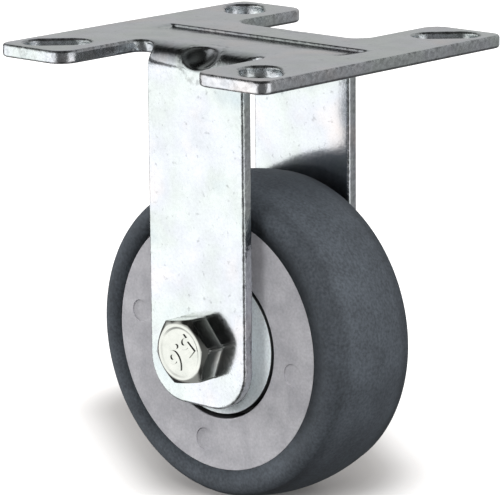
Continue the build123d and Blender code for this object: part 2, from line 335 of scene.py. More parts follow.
def worked_steel(name, tone, low, high):
    """Plain steel, ground or drawn: even colour, with fine marks round the axle."""
    material, tree, shader, place = new_material(name)
    stretched = add(tree, "ShaderNodeMapping", {"Vector": place, "Scale": (1.0, 8.0, 1.0)})
    marks = add(tree, "ShaderNodeTexNoise", {
        "Vector": stretched.outputs["Vector"], "Scale": per_millimetre(1.2), "Detail": 3.0})
    shader.inputs["Base Color"].default_value = linear(tone)
    shader.inputs["Metallic"].default_value = 1.0
    rough = add(tree, "ShaderNodeMapRange", {"Value": marks.outputs["Fac"], "To Min": low, "To Max": high})
    tree.links.new(rough.outputs["Result"], shader.inputs["Roughness"])
    return material


zinc_plate = bright_zinc_plate()
zinc_fastener = bright_zinc_fastener()
rubber = tyre_rubber()
core_plastic = moulded_polypropylene("moulded_polypropylene", "BAB9BD", "A5A4A9", 0.45)
guard_plastic = moulded_polypropylene("guard_polypropylene", "F2F8FA", "E8F0F3", 0.4)
nylon = moulded_polypropylene("nylon", "E8E6DC", "DCD9CC", 0.45)
cage_nylon = moulded_polypropylene("cage_nylon", "DDD8C0", "CFC9AE", 0.45)
bearing_steel = worked_steel("ground_bearing_steel", "D8D9DA", 0.12, 0.2)
shield_steel = worked_steel("pressed_shield_steel", "C2C3C4", 0.28, 0.4)
tube_steel = worked_steel("drawn_tube_steel", "BFC1C3", 0.25, 0.38)


def new_object(name, data):
    """An object in the scene that holds this data."""
    made = bpy.data.objects.new(name, data)
    bpy.context.scene.collection.objects.link(made)
    return made


def plain_mesh(name, mesh):
    """Turns a bmesh into mesh data."""
    data = bpy.data.meshes.new(name)
    mesh.to_mesh(data)
    mesh.free()
    return data


def worked_out(holder):
    """The plain mesh that an object comes to with its modifiers; the object itself goes."""
    bpy.context.view_layer.update()
    result = bpy.data.meshes.new_from_object(holder.evaluated_get(bpy.context.evaluated_depsgraph_get()))
    bpy.data.objects.remove(holder)
    return result


def finish_piece(name, mesh_data, material, body, slot, *nodes):
    """Makes the object for a finished mesh, gives it its material, hangs it on its body and hides the CAD
    nodes that it replaces.
    """
    piece = new_object(name, mesh_data)
    mesh_data.materials.clear()
    mesh_data.materials.append(material)
    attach(piece, body)
    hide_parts(*nodes)


def with_modifiers(name, mesh, *modifiers):
    """The mesh of a bmesh after modifiers, each given as a kind and its settings."""
    bmesh.ops.remove_doubles(mesh, verts=mesh.verts, dist=1e-7)
    bmesh.ops.recalc_face_normals(mesh, faces=mesh.faces)
    for face in mesh.faces:
        face.smooth = True
    raw = plain_mesh(name + "_raw", mesh)
    holder = new_object(name + "_raw", raw)
    for kind, settings in modifiers:
        modifier = holder.modifiers.new(kind, kind)
        for key, value in settings.items():
            setattr(modifier, key, value)
    result = worked_out(holder)
    result.name = name
    bpy.data.meshes.remove(raw)
    return result


even_normals = ("WEIGHTED_NORMAL", {"weight": 100, "keep_sharp": True})


def new_recipe(name, sizes):
    """A geometry recipe with its named sizes; returns its tree and the sockets of those sizes."""
    tree = bpy.data.node_groups.new(name, "GeometryNodeTree")
    tree.interface.new_socket("Geometry", in_out="INPUT", socket_type="NodeSocketGeometry")
    for size in sizes:
        tree.interface.new_socket(size, in_out="INPUT", socket_type="NodeSocketFloat")
    tree.interface.new_socket("Geometry", in_out="OUTPUT", socket_type="NodeSocketGeometry")
    return tree, add(tree, "NodeGroupInput").outputs


def recipe_end(tree, geometry, material):
    """Turns instances into a real mesh, gives it its material and hands it on."""
    real = add(tree, "GeometryNodeRealizeInstances", {"Geometry": geometry})
    painted = add(tree, "GeometryNodeSetMaterial", {
        "Geometry": real.outputs["Geometry"], "Material": material})
    add(tree, "NodeGroupOutput", {"Geometry": painted.outputs["Geometry"]})


def follow_recipe(tree, sizes, start):
    """The plain mesh that a recipe makes from a starting mesh and its sizes."""
    holder = new_object(tree.name, start)
    modifier = holder.modifiers.new(tree.name, "NODES")
    modifier.node_group = tree
    for item in tree.interface.items_tree:
        if item.name in sizes:
            modifier[item.identifier] = sizes[item.name]
    return worked_out(holder)


def line_points(start, end, normal, step):
    """Points from start up to, not including, end, each with the outline's outward normal."""
    count = max(1, math.ceil(math.dist(start, end) / step))
    return [
        (start[0] + (end[0] - start[0]) * i / count, start[1] + (end[1] - start[1]) * i / count, *normal)
        for i in range(count)
    ]


def arc_points(centre, radius, start, end, outward, step=10):
    """Points on an arc from start up to, not including, end; outward is 1 where the sheet is inside."""
    count = max(2, math.ceil(abs(end - start) / step))
    points = []
    for i in range(count):
        angle = (start + (end - start) * i / count) * RAD
        x, y = math.cos(angle), math.sin(angle)
        points.append((centre[0] + radius * x, centre[1] + radius * y, outward * x, outward * y))
    return points


def blank_outline():
    """The outline of the punched sheet before folding, counter-clockwise."""
    bend_end = bend_start + bend_length
    quarter = (
        line_points((plate_half_x, 0), (plate_half_x, plate_half_y - plate_corner_radius), (1, 0), 3)
        + arc_points((plate_half_x - plate_corner_radius, plate_half_y - plate_corner_radius),
                     plate_corner_radius, 0, 90, 1)
        + line_points((plate_half_x - plate_corner_radius, plate_half_y),
                      (arm_half + arm_corner_radius, plate_half_y), (0, 1), 3)
        + arc_points((arm_half + arm_corner_radius, plate_half_y - arm_corner_radius),
                     arm_corner_radius, 90, 180, 1)
        + line_points((arm_half, plate_half_y - arm_corner_radius), (arm_half, relief_centre_y), (-1, 0), 1)
        + arc_points((relief_centre_x, relief_centre_y), relief_radius, 0, -180, -1, 9)
        + line_points((leg_half, relief_centre_y), (leg_half, bend_end), (1, 0), 0.25)
        + line_points((leg_half, bend_end), (leg_half, strip_end - leg_corner_radius), (1, 0), 3)
        + arc_points((leg_half - leg_corner_radius, strip_end - leg_corner_radius),
                     leg_corner_radius, 0, 90, 1, 6)
        + line_points((leg_half - leg_corner_radius, strip_end), (0, strip_end), (0, 1), 1.5)
        + [(0, strip_end, 0, 1)]
    )
    whole = []
    for x_side, y_side in ((1, 1), (-1, 1), (-1, -1), (1, -1)):
        part = [(x_side * x, y_side * y, x_side * nx, y_side * ny) for x, y, nx, ny in quarter]
        whole += part if x_side * y_side > 0 else part[::-1]
    seen = []
    for point in whole:
        if not any(math.dist(point[:2], other[:2]) < 1e-6 for other in seen):
            seen.append(point)
    return seen


def slot_outline(x_side, y_side):
    """The outline of one screw slot, which points at the plate's centre."""
    angle = math.atan2(y_side, x_side) / RAD
    points = []
    for end in (1, -1):
        centre = (
            x_side * (slot_x + end * slot_straight / 2 * math.sqrt(0.5)),
            y_side * (slot_y + end * slot_straight / 2 * math.sqrt(0.5)),
        )
        # A half circle in steps of 9 degrees, its last point among them
        points += arc_points(centre, slot_radius, angle - 90 * end, angle - 90 * end + 189, -1, 9)
    return points


def smooth_step(low, high, value):
    t = min(1.0, max(0.0, (value - low) / (high - low)))
    return t * t * (3 - 2 * t)


def soft_positive(value, width):
    """value where it is positive and 0 where it is negative, rounded over the width."""
    h = max(width - abs(value), 0.0) / width
    return max(value, 0.0) + h * h * width / 4


def folded(x, along, depth):
    """Where a point of the blank lies once it is folded; depth is measured in from the outer face."""
    side = math.copysign(1, along)
    s = abs(along)
    turn = min(max(s - bend_start, 0.0), bend_length) / bend_radius
    beyond = max(s - bend_start - bend_length, 0.0)
    reach = bend_radius - depth
    bent_y = min(s, bend_start) + reach * math.sin(turn)
    bent_z = -bend_radius + reach * math.cos(turn) - beyond
    flat = smooth_step(leg_half, arm_half, abs(x))
    y = bent_y + (s - bent_y) * flat
    z = bent_z + (-depth - bent_z) * flat
    return Vector((x, side * y, z))


def pressed(x, along, depth):
    """The folded point after the press has put in the dimples and the groove."""
    point = folded(x, along, depth)
    side = math.copysign(1, along)
    if abs(along) > bend_start - 4:
        inward = Vector((0, -side, -1)).normalized()
        ball = Vector((dimple_shift, side * (leg_face + dimple_standoff), dimple_standoff))
        offset = folded(x, along, 0) - ball
        across = offset.dot(inward)
        reach = across * across - offset.length_squared + dimple_radius * dimple_radius
        push = math.sqrt(reach) - across if reach > 0 else -dimple_rim
        point += inward * soft_positive(push, dimple_rim)
    if abs(along) < bend_start:
        ramp = (along - groove_wall_y + groove_width) / (groove_width - groove_wall_run)
        wall = (groove_wall_y - along) / groove_wall_run
        sink = min(soft_positive(ramp, 0.1), soft_positive(wall, 0.4), 1.0)
        ends = smooth_step(groove_left, groove_left + 1.0, x)
        ends *= smooth_step(groove_right, groove_right - 2.5, x)
        point.z -= groove_depth * sink * ends
    return point


def press_work(x, along):
    """How much the press has roughened the sheet: round a dimple, over a fold, down the groove's wall."""
    s = abs(along)
    if s < bend_start - 1.6:
        from_wall = abs(along - groove_wall_y + groove_wall_run / 2)
        wall = smooth_step(2.2 * groove_wall_run, groove_wall_run, from_wall)
        return 0.2 * wall * (groove_left < x < groove_right)
    fold = smooth_step(bend_start - 1.5, bend_start + 1, s)
    fold *= smooth_step(bend_start + 8.5, bend_start + 6.2, s)
    across = math.hypot((x - dimple_shift) * 1.1, s - bend_start - bend_length / 2)
    rim = smooth_step(5.2, 4.4, across) * smooth_step(3.2, 4.0, across)
    return max(0.12 * fold, 0.6 * rim) * smooth_step(arm_half + 1, leg_half, abs(x))


def drawn_in(x, along):
    """How deep in a dimple this is: 1 in its bowl and 0 outside it."""
    if abs(along) < bend_start - 2:
        return 0.0
    return smooth_step(0.1, 0.5, (pressed(x, along, 0) - folded(x, along, 0)).length)


def fork_mesh():
    """The whole fork as one sheet: triangles on both faces, and a rounded band round every cut edge. The
    attribute "worked" says where the metal is torn or stretched, and "drawn" where it is pressed in deep,
    which the plate's material darkens as painted shade."""
    loops = [blank_outline()] + [slot_outline(sx, sy) for sx in (1, -1) for sy in (1, -1)]
    for side in (1, -1):
        hole_along = side * (bend_start + bend_length - axle_z - bend_radius)
        loops.append(arc_points((0, hole_along), axle_hole_radius, 0, 360, -1, 9))

    flat_points, edges = [], []
    for loop in loops:
        first = len(flat_points)
        flat_points += [Vector((x - nx * edge_radius, y - ny * edge_radius)) for x, y, nx, ny in loop]
        edges += [(first + i, first + (i + 1) % len(loop)) for i in range(len(loop))]
    border = [(p.x, p.y) for p in flat_points]
    crossings = {}

    def on_sheet(x, y):
        """Whether a point is inside the outline and outside every hole, by counting borders to its left."""
        if y not in crossings:
            cuts = []
            for a, b in edges:
                (ax, ay), (bx, by) = border[a], border[b]
                if (ay > y) != (by > y):
                    cuts.append(ax + (bx - ax) * (y - ay) / (by - ay))
            crossings[y] = cuts
        return sum(cut < x for cut in crossings[y]) % 2 == 1

    def in_bend(x, y):
        return abs(x) < arm_half + 1 and bend_start - 1 < abs(y) < bend_start + bend_length + 0.6

    def in_dimple(x, y):
        middle = bend_start + bend_length / 2
        return abs(x - dimple_shift) < dimple_reach and abs(abs(y) - middle) < bend_length / 2 + 1.6

    def fill(x_reach, y_reach, step, wanted, x_middle=0.0):
        """Adds points on a staggered grid, where they are wanted and clear of every border."""
        across = int(x_reach / step)
        along = int(y_reach / step)
        for i in range(-across, across + 1):
            for j in range(-along, along + 1):
                x, y = x_middle + i * step, (j + 0.5 * (i % 2)) * step
                if wanted(x, y) and on_sheet(x, y) and all(
                    abs(x - bx) > 0.6 * step or abs(y - by) > 0.6 * step for bx, by in border
                ):
                    flat_points.append(Vector((x, y)))

    fill(5, 20, dimple_step, in_dimple, dimple_shift)
    fill(arm_half, 20, bend_step, lambda x, y: in_bend(x, y) and not in_dimple(x, y))
    columns = [groove_left - 0.5 + 0.5 * i for i in range(int((groove_right - groove_left + 1.5) / 0.5))]
    for row in groove_rows:
        flat_points.extend(Vector((x, groove_wall_y + row * groove_wall_run)) for x in columns)
    for x in columns:
        near_end = x < groove_left + 1.5 or x > groove_right - 3
        y = groove_wall_y - 2.5 * groove_wall_run
        while y > groove_wall_y - groove_width - 0.6:
            flat_points.append(Vector((x, y)))
            y -= 0.5 if near_end else 1.0
    fill(
        30, 75, flat_step,
        lambda x, y: not in_bend(x, y) and not in_dimple(x, y)
        and not (groove_left - 1 < x < groove_right + 1.5 and groove_wall_y - 9 < y < groove_wall_y + 1),
    )

    flat, _, triangles, *_ = delaunay_2d_cdt(flat_points, edges, [], 0, 1e-5)
    faces = []
    for triangle in triangles:
        middle = sum((flat[i] for i in triangle), Vector((0, 0))) / 3
        if max(triangle) >= len(border) and min(triangle) >= len(border) or on_sheet(middle.x, middle.y):
            faces.append(triangle)
    mesh = bmesh.new()
    worked = mesh.verts.layers.float.new("worked")
    # The dimple's bowl, which the material darkens as painted shade
    drawn = mesh.verts.layers.float.new("drawn")
    for depth, order in ((0.0, 1), (sheet, -1)):
        verts = [mesh.verts.new(pressed(p.x, p.y, depth) * MM) for p in flat]
        for vert, p in zip(verts, flat):
            vert[worked] = press_work(p.x, p.y)
            vert[drawn] = drawn_in(p.x, p.y)
        for face in faces:
            mesh.faces.new([verts[i] for i in face][::order])
    bow = [i * math.pi / 8 for i in range(5)]
    levels = [(edge_radius * (1 - math.sin(a)), edge_radius * (1 - math.cos(a))) for a in bow]
    levels += [(inset, sheet - depth) for inset, depth in reversed(levels)]
    for loop in loops:
        rings = [
            [mesh.verts.new(pressed(x - nx * inset, y - ny * inset, depth) * MM) for x, y, nx, ny in loop]
            for inset, depth in levels
        ]
        for ring, torn in zip(rings, (0.1, 0.7, 0.9, 0.7, 0.5, 0.3, 0.4, 0.8, 0.8, 0.1)):
            for vert in ring:
                vert[worked] = torn
        for upper, lower in zip(rings, rings[1:]):
            for i in range(len(loop)):
                j = (i + 1) % len(loop)
                mesh.faces.new((upper[i], lower[i], lower[j], upper[j]))
    return with_modifiers("folded_fork", mesh, even_normals)


def rounded(corners, step=12):
    """A closed profile through corners given as (y, r, fillet radius), with its fillets as arcs."""
    outline = []
    for i, (y, r, radius) in enumerate(corners):
        here = Vector((y, r))
        if not radius:
            outline.append(here)
            continue
        before = (Vector(corners[i - 1][:2]) - here).normalized()
        after = (Vector(corners[(i + 1) % len(corners)][:2]) - here).normalized()
        half = before.angle(after) / 2
        middle = here + (before + after).normalized() * (radius / math.sin(half))
        start = here + before * (radius / math.tan(half)) - middle
        sweep = start.angle_signed(here + after * (radius / math.tan(half)) - middle)
        count = max(2, math.ceil(abs(sweep) / RAD / step))
        for k in range(count + 1):
            outline.append(middle + Matrix.Rotation(-sweep * k / count, 2) @ start)
    return outline


def about_axle(r, y, turn):
    """The place, in metres, at a radius from the axle, a distance along it and a turn about it."""
    return Vector((r * math.cos(turn), y, axle_z + r * math.sin(turn))) * MM


def turned(outline, segments=180):
    """A body of revolution about the axle, from a closed profile of (y, r)."""
    mesh = bmesh.new()
    turns = [2 * math.pi * k / segments for k in range(segments)]
    rings = []
    for y, r in outline:
        if r < 1e-6:
            rings.append([mesh.verts.new(about_axle(0, y, 0))] * segments)
        else:
            rings.append([mesh.verts.new(about_axle(r, y, turn)) for turn in turns])
    for a, b in zip(rings, rings[1:] + rings[:1]):
        for k in range(segments):
            corners = dict.fromkeys((a[k], b[k], b[(k + 1) % segments], a[(k + 1) % segments]))
            if len(corners) > 2:
                mesh.faces.new(list(corners))
    return mesh


def tyre_mesh():
    """The tyre: a crowned tread between rounded shoulders, and the mould's parting line round its middle."""
    arc_radius = (wheel_half ** 2 + tread_crown ** 2) / (2 * tread_crown)
    edge = wheel_half - shoulder_radius * 0.82
    tread = []
    half = [edge * (1 - i / 16) for i in range(16)] + [0.2, 0.08]
    for y in half + [-y for y in reversed(half)]:
        r = tread_radius - arc_radius + math.sqrt(arc_radius ** 2 - y ** 2)
        tread.append(Vector((y, r - (parting_depth if abs(y) < 0.1 else 0))))
    side_r = tread[0].y
    shoulder = []
    for k in range(1, 8):
        angle = k / 8 * 81 * RAD + 9 * RAD
        shoulder.append((
            edge + (wheel_half - edge) * math.sin(angle) ** 0.9,
            side_r - shoulder_radius * (1 - math.cos(angle)),
        ))
    side = [(wheel_half, rim_radius), (wheel_half, side_r - shoulder_radius), *reversed(shoulder)]
    profile = [Vector(point) for point in side] + tread + [Vector((-y, r)) for y, r in reversed(side)]
    return with_modifiers("crowned_tyre", turned(profile, 240), even_normals)


def pin_mark_recipe():
    """Round hollows, evenly spaced on a ring about the axle, sunk into the core's face on the bolt's side."""
    tree, size = new_recipe("pin_marks", (
        "Count", "Ring Radius", "Mark Radius", "Depth", "Angle", "Face", "Axle"))
    ring = add(tree, "GeometryNodeMeshCircle", {"Vertices": size["Count"], "Radius": size["Ring Radius"]})
    place = add(tree, "ShaderNodeCombineXYZ", {1: size["Face"], 2: size["Axle"]})
    upright = add(tree, "ShaderNodeCombineXYZ", {0: math.pi / 2, 1: size["Angle"]})
    set_up = add(tree, "GeometryNodeTransform", {
        "Geometry": ring.outputs["Mesh"], "Translation": place.outputs[0], "Rotation": upright.outputs[0]})
    both_ways = add(tree, "ShaderNodeMath", {0: size["Depth"], 1: 2.0}, operation="MULTIPLY")
    punch = add(tree, "GeometryNodeMeshCylinder", {
        "Vertices": 48, "Radius": size["Mark Radius"], "Depth": both_ways.outputs[0]})
    punches = add(tree, "GeometryNodeInstanceOnPoints", {
        "Points": set_up.outputs["Geometry"], "Instance": punch.outputs["Mesh"],
        "Rotation": (math.pi / 2, 0.0, 0.0)})
    tools = add(tree, "GeometryNodeRealizeInstances", {"Geometry": punches.outputs["Instances"]})
    sunk = add(tree, "GeometryNodeMeshBoolean", {
        "Mesh 1": size["Geometry"], "Mesh 2": tools.outputs["Geometry"]},
        operation="DIFFERENCE", solver="EXACT")
    recipe_end(tree, sunk.outputs["Mesh"], core_plastic)
    return tree


def core_mesh():
    """The core's skin: both faces, the wells round the guards, and the ejector marks."""
    half = [
        (wheel_half, rim_radius, 0.1), (wheel_half, flow_ring + flow_ring_half, 0),
        (wheel_half - flow_ring_depth, flow_ring, 0), (wheel_half, flow_ring - flow_ring_half, 0),
        (wheel_half, well_radius, well_lip_radius), (gap_floor, well_radius, 0.15),
        (gap_floor, gap_inner, 0.15), (bearing_face, gap_inner, 0), (bearing_face, bearing_seat, 0),
    ]
    body = turned(rounded(half + [(-y, r, fillet) for y, r, fillet in reversed(half)]), 240)
    bmesh.ops.recalc_face_normals(body, faces=body.faces)
    marked = follow_recipe(pin_mark_recipe(), {
        "Count": float(pin_mark_count), "Ring Radius": pin_mark_ring * MM,
        "Mark Radius": pin_mark_radius * MM, "Depth": pin_mark_depth * MM, "Angle": -pin_mark_angle * RAD,
        "Face": -wheel_half * MM, "Axle": axle_z * MM}, plain_mesh("core_blank", body))
    mesh = bmesh.new()
    mesh.from_mesh(marked)
    # Painted shade on the well's walls and gap floor round each guard, deepest inside the well
    gap_shade = mesh.verts.layers.float.new("gap_shade")
    for vert in mesh.verts:
        y, r = abs(vert.co.y) / MM, math.hypot(vert.co.x / MM, vert.co.z / MM - axle_z)
        if r < well_radius + well_lip_radius:
            vert[gap_shade] = smooth_step(0.0, 0.3, wheel_half - y)
    return with_modifiers(
        "moulded_core", mesh,
        ("BEVEL", {"width": 0.05 * MM, "segments": 2, "limit_method": "ANGLE", "angle_limit": 40 * RAD}),
        even_normals,
    )


def guard_mesh(side):
    """One thread guard: a flat disc over the bearing, with a boss that stands against the leg."""
    back, front = guard_low.y, guard_high.y
    reach = (guard_high.z - guard_low.z) / 2
    profile = rounded([
        (back, guard_bore, 0), (back, guard_spigot, 0), (guard_back, guard_spigot, 0),
        (guard_back, reach, 0.1), (guard_face, reach, 0.12), (guard_face, guard_boss, 0.1),
        (front, guard_boss, 0.1), (front, guard_bore, 0.1),
    ])
    mesh = turned([Vector((side * y, r)) for y, r in profile])
    # Painted shade on the guard's outer rim, which sits in the gap of the core's well
    gap_shade = mesh.verts.layers.float.new("gap_shade")
    for vert in mesh.verts:
        vert[gap_shade] = smooth_step(reach - 0.06, reach, math.hypot(vert.co.x / MM, vert.co.z / MM - axle_z))
    return with_modifiers("thread_guard", mesh, even_normals)


def thread_recipe():
    """A rod along the axle with a right-handed thread: a grid wrapped round, its radius on the helix."""
    tree, size = new_recipe("bolt_thread", ("Length", "Radius", "Depth", "Pitch", "Start", "Tip", "Axle"))
    grid = add(tree, "GeometryNodeMeshGrid", {
        "Size X": 1.0, "Size Y": 1.0, "Vertices X": 49, "Vertices Y": thread_rows})
    place = add(tree, "ShaderNodeSeparateXYZ", {0: add(tree, "GeometryNodeInputPosition").outputs[0]})
    turn = add(tree, "ShaderNodeMath", {0: place.outputs[0], 1: 0.5}, operation="ADD").outputs[0]
    share = add(tree, "ShaderNodeMapRange", {
        "Value": place.outputs[1], "From Min": -0.5 + 1 / thread_rows,
        "From Max": 0.5 - 1 / thread_rows}).outputs[0]
    along = add(tree, "ShaderNodeMath", {0: share, 1: size["Length"]}, operation="MULTIPLY").outputs[0]
    turns = add(tree, "ShaderNodeMath", {0: along, 1: size["Pitch"]}, operation="DIVIDE").outputs[0]
    phase = add(tree, "ShaderNodeMath", {0: turns, 1: turn}, operation="ADD").outputs[0]
    wave = add(tree, "ShaderNodeMath", {0: phase, 1: 0.5}, operation="PINGPONG").outputs[0]
    flank = add(tree, "ShaderNodeMapRange", {
        "Value": wave, "From Min": 0.06, "From Max": 0.42, "To Max": size["Depth"]}).outputs[0]
    begun = add(tree, "ShaderNodeMapRange", {"Value": turns, "From Max": 1.5}).outputs[0]
    cut = add(tree, "ShaderNodeMath", {0: flank, 1: begun}, operation="MULTIPLY").outputs[0]
    threaded = add(tree, "ShaderNodeMath", {0: size["Radius"], 1: cut}, operation="SUBTRACT").outputs[0]
    left = add(tree, "ShaderNodeMath", {0: size["Length"], 1: along}, operation="SUBTRACT").outputs[0]
    core = add(tree, "ShaderNodeMath", {0: size["Radius"], 1: size["Tip"]}, operation="SUBTRACT").outputs[0]
    tip = add(tree, "ShaderNodeMath", {0: core, 1: left}, operation="ADD").outputs[0]
    solid = add(tree, "ShaderNodeMath", {0: threaded, 1: tip}, operation="MINIMUM").outputs[0]
    inside = add(tree, "FunctionNodeCompare", {
        0: add(tree, "ShaderNodeMath", {0: place.outputs[1]}, operation="ABSOLUTE").outputs[0],
        1: 0.5 - 0.2 / thread_rows}, operation="LESS_THAN")
    reach = add(tree, "ShaderNodeMath", {0: solid, 1: inside.outputs[0]}, operation="MULTIPLY").outputs[0]
    angle = add(tree, "ShaderNodeMath", {0: turn, 1: 2 * math.pi}, operation="MULTIPLY").outputs[0]
    cosine = add(tree, "ShaderNodeMath", {0: angle}, operation="COSINE").outputs[0]
    sine = add(tree, "ShaderNodeMath", {0: angle}, operation="SINE").outputs[0]
    x = add(tree, "ShaderNodeMath", {0: reach, 1: cosine}, operation="MULTIPLY").outputs[0]
    y = add(tree, "ShaderNodeMath", {0: along, 1: size["Start"]}, operation="ADD").outputs[0]
    z = add(tree, "ShaderNodeMath", {0: reach, 1: sine, 2: size["Axle"]}, operation="MULTIPLY_ADD").outputs[0]
    spot = add(tree, "ShaderNodeCombineXYZ", {0: x, 1: y, 2: z}).outputs[0]
    wrapped = add(tree, "GeometryNodeSetPosition", {"Geometry": grid.outputs["Mesh"], "Position": spot})
    joined = add(tree, "GeometryNodeMergeByDistance", {
        "Geometry": wrapped.outputs["Geometry"], "Distance": 0.002 * MM})
    recipe_end(tree, joined.outputs["Geometry"], zinc_fastener)
    return tree


def hexagon_reach(angle):
    """How far the head's hexagon, which has rounded corners and one of them at angle 0, reaches."""
    local = angle % (math.pi / 3) - math.pi / 6
    straight = head_half_flats / math.cos(local)
    inner = (head_half_flats - head_corner_radius) / math.cos(math.pi / 6)
    from_corner = math.pi / 6 - abs(local)
    side = inner * math.sin(from_corner)
    if side >= head_corner_radius:
        return straight
    return min(straight, inner * math.cos(from_corner) + math.sqrt(head_corner_radius ** 2 - side ** 2))


def hexagon_head(segments=360):
    """The bolt's head: a forged hexagon with a dished face, its outer corners cut by a shallow cone."""
    mesh = bmesh.new()
    corner = head_half_flats / math.cos(math.pi / 6)
    slope = head_face_drop / (corner - head_face_radius)
    turns = [2 * math.pi * k / segments for k in range(segments)]
    dished = ((0.0, 1.0), (0.6, 1.0), (0.8, 1.0), (0.86, 0.8), (0.91, 0.1), (0.94, 0.0), (1.0, 0.0))
    rings = [[(head_face_radius * share, head_height - head_dish * dip)] * segments for share, dip in dished]
    reaches = [hexagon_reach(turn - head_turn * RAD) for turn in turns]
    for share in (1 / 3, 1.0):
        rings.append([(
            head_face_radius + (r - head_face_radius) * share,
            head_height - max(0.0, r - head_face_radius) * share * slope) for r in reaches])
    rings.append([(r, 0.25) for r in reaches])
    rings.append([(r - 0.12, 0.0) for r in reaches])
    made = [
        [mesh.verts.new(about_axle(r, -leg_face - level, turn)) for turn, (r, level) in zip(turns, ring)]
        for ring in rings
    ]
    for a, b in zip(made, made[1:]):
        for k in range(segments):
            j = (k + 1) % segments
            mesh.faces.new((a[k], b[k], b[j], a[j]))
    mesh.faces.new(made[-1])
    return mesh


def raised_number():
    """A plain number forged in relief on the bolt's face, turned as the bolt was left when tightened."""
    text = bpy.data.curves.new("raised_number", "FONT")
    text.body = "5.6"
    text.align_x = "CENTER"
    text.align_y = "CENTER"
    text.size = number_size
    text.offset = number_weight
    text.extrude = head_dish
    text.bevel_depth = 0.04
    flat = worked_out(new_object("raised_number", text))
    face = Vector((0, -leg_face - head_height + head_dish + 0.05, axle_z)) * MM
    flat.transform(
        Matrix.Translation(face) @ Matrix.Rotation(math.pi / 2, 4, "X")
        @ Matrix.Rotation(number_turn * RAD, 4, "Z") @ Matrix.Scale(MM, 4)
    )
    return flat


def bolt_mesh():
    """The whole bolt: head, plain shank, thread and number."""
    body = hexagon_head()
    body.from_mesh(plain_mesh("plain_shank", turned([
        (-leg_face, 0), (-leg_face, shank_radius), (thread_start, shank_radius), (thread_start, 0)], 48)))
    body.from_mesh(follow_recipe(thread_recipe(), {
        "Length": (bolt_end - thread_start) * MM, "Radius": shank_radius * MM, "Depth": thread_depth * MM,
        "Pitch": thread_pitch * MM, "Start": thread_start * MM, "Tip": thread_tip * MM,
        "Axle": axle_z * MM}, bpy.data.meshes.new("bolt_thread_start")))
    body.from_mesh(raised_number())
    return with_modifiers(
        "hexagon_bolt", body,
        ("BEVEL", {"width": 0.08 * MM, "segments": 2, "limit_method": "ANGLE", "angle_limit": 40 * RAD}),
        even_normals,
    )


finish_piece("folded_fork", fork_mesh(), zinc_plate, "fixed", "zinc_plated_sheet", "fork")
finish_piece("crowned_tyre", tyre_mesh(), rubber, "wheel", "tyre_rubber", "tyre")
finish_piece("moulded_core", core_mesh(), core_plastic, "wheel", "core_plastic", "wheel_core")
for side_name, side in (("bolt_side", -1), ("nut_side", 1)):
    finish_piece(
        f"guard_{side_name}", guard_mesh(side), guard_plastic, "fixed", "guard_plastic",
        f"thread_guard_{side_name}")
finish_piece("hexagon_bolt", bolt_mesh(), zinc_fastener, "fixed", "zinc_plated_fastener", "axle_bolt")

# The first name here that a CAD node's name starts with gives its finish
node_finish = {
    "lock_nut_insert": nylon,
    "lock_nut": zinc_fastener,
    "axle_bolt": zinc_fastener,
    "axle_sleeve": tube_steel,
    "thread_guard": guard_plastic,
    "bearing_cage": cage_nylon,
    "bearing_inner_shield": shield_steel,
    "bearing_outer_shield": shield_steel,
    "bearing": bearing_steel,
    "fork": zinc_plate,
    "tyre": rubber,
    "wheel_core": core_plastic,
}
for node_name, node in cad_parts.items():
    finish = next(material for start, material in node_finish.items() if node_name.startswith(start))
    node.data.materials.clear()
    node.data.materials.append(finish)

# The line along which a soft shadow is painted into the floor, back and to the left of the wheel's foot, and
# how much the floor glows at a distance from it: little near the line, which paints the shadow
shadow_turn = 55.0
shadow_aside = 4.6
shadow_start = 9.0
shadow_end = 48.0
floor_glow = (
    (13, 0.07), (16, 0.11), (18.5, 0.2), (21, 0.37), (23, 0.52), (25.5, 0.68), (30, 0.87), (50, 1.0))


